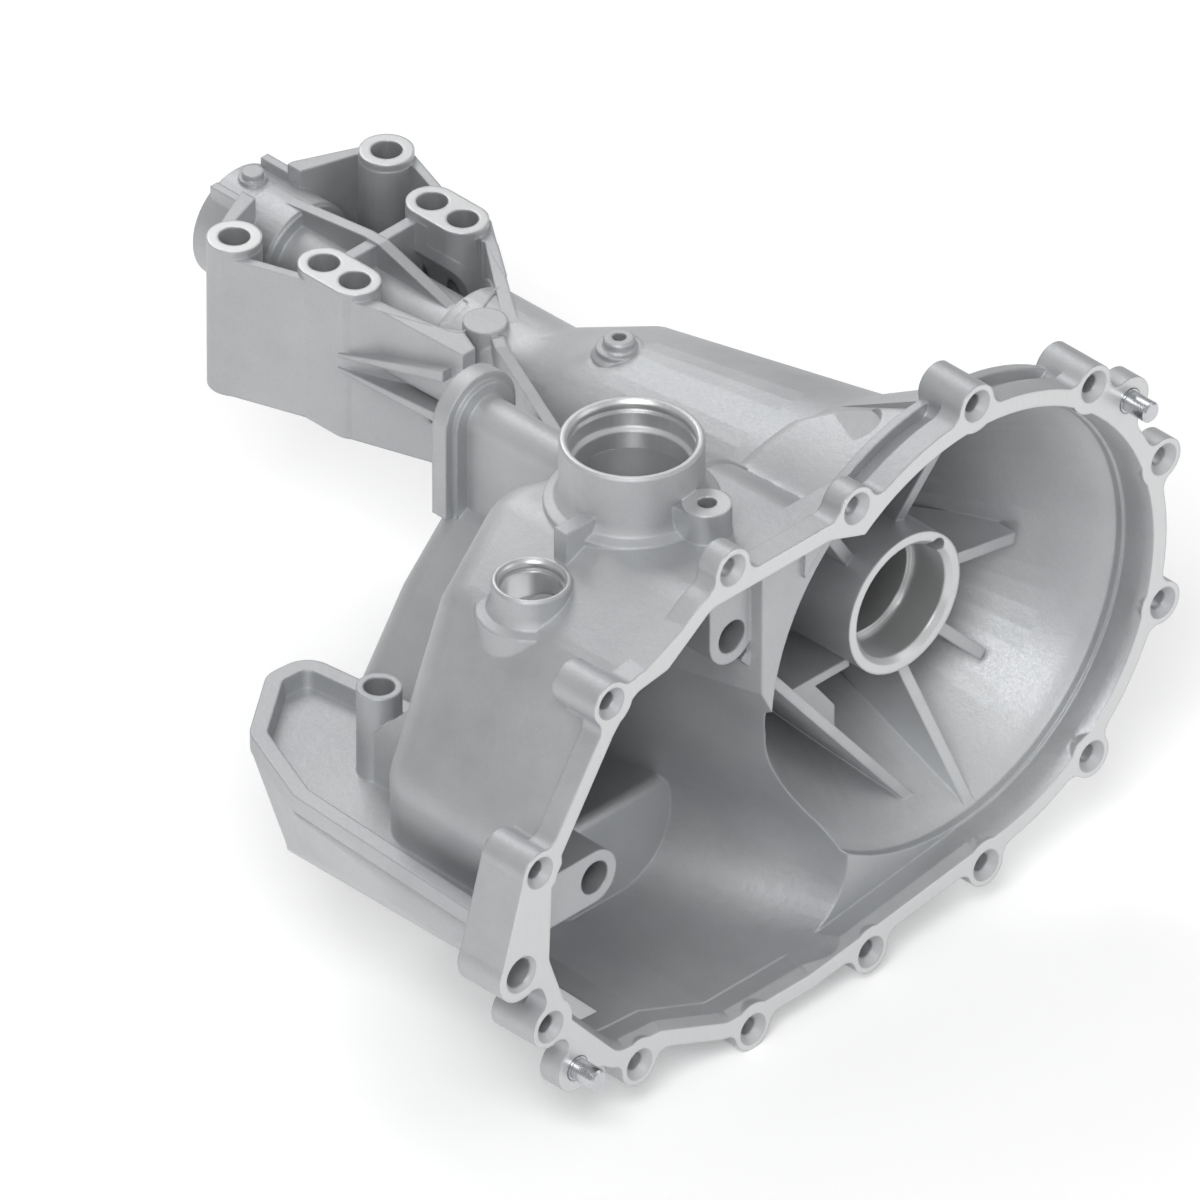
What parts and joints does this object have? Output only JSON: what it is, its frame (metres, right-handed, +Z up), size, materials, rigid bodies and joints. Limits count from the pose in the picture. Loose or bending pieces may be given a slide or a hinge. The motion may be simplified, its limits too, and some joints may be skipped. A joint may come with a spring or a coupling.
{
  "type": "gearbox housing",
  "caption": "Cast aluminium gearbox housing with a round motor opening, an open gear chamber with a sump, a long shaft tunnel, and a tail mount with screw pads.",
  "frame": {"origin": "centre of the round motor opening, on the machined mating face", "axes": "+X out of the mating face along the shaft, +Y from the gear chamber to the motor opening, +Z up"},
  "size_m": [0.491, 0.4382, 0.2965],
  "materials": {
    "cast_aluminium": "as cast, with machined faces and bores",
    "pin_steel": "ground steel"
  },
  "bodies": {
    "root": {"housing_casting": "cast_aluminium", "upper_dowel_pin": "pin_steel", "lower_dowel_pin": "pin_steel"}
  },
  "joints": []
}
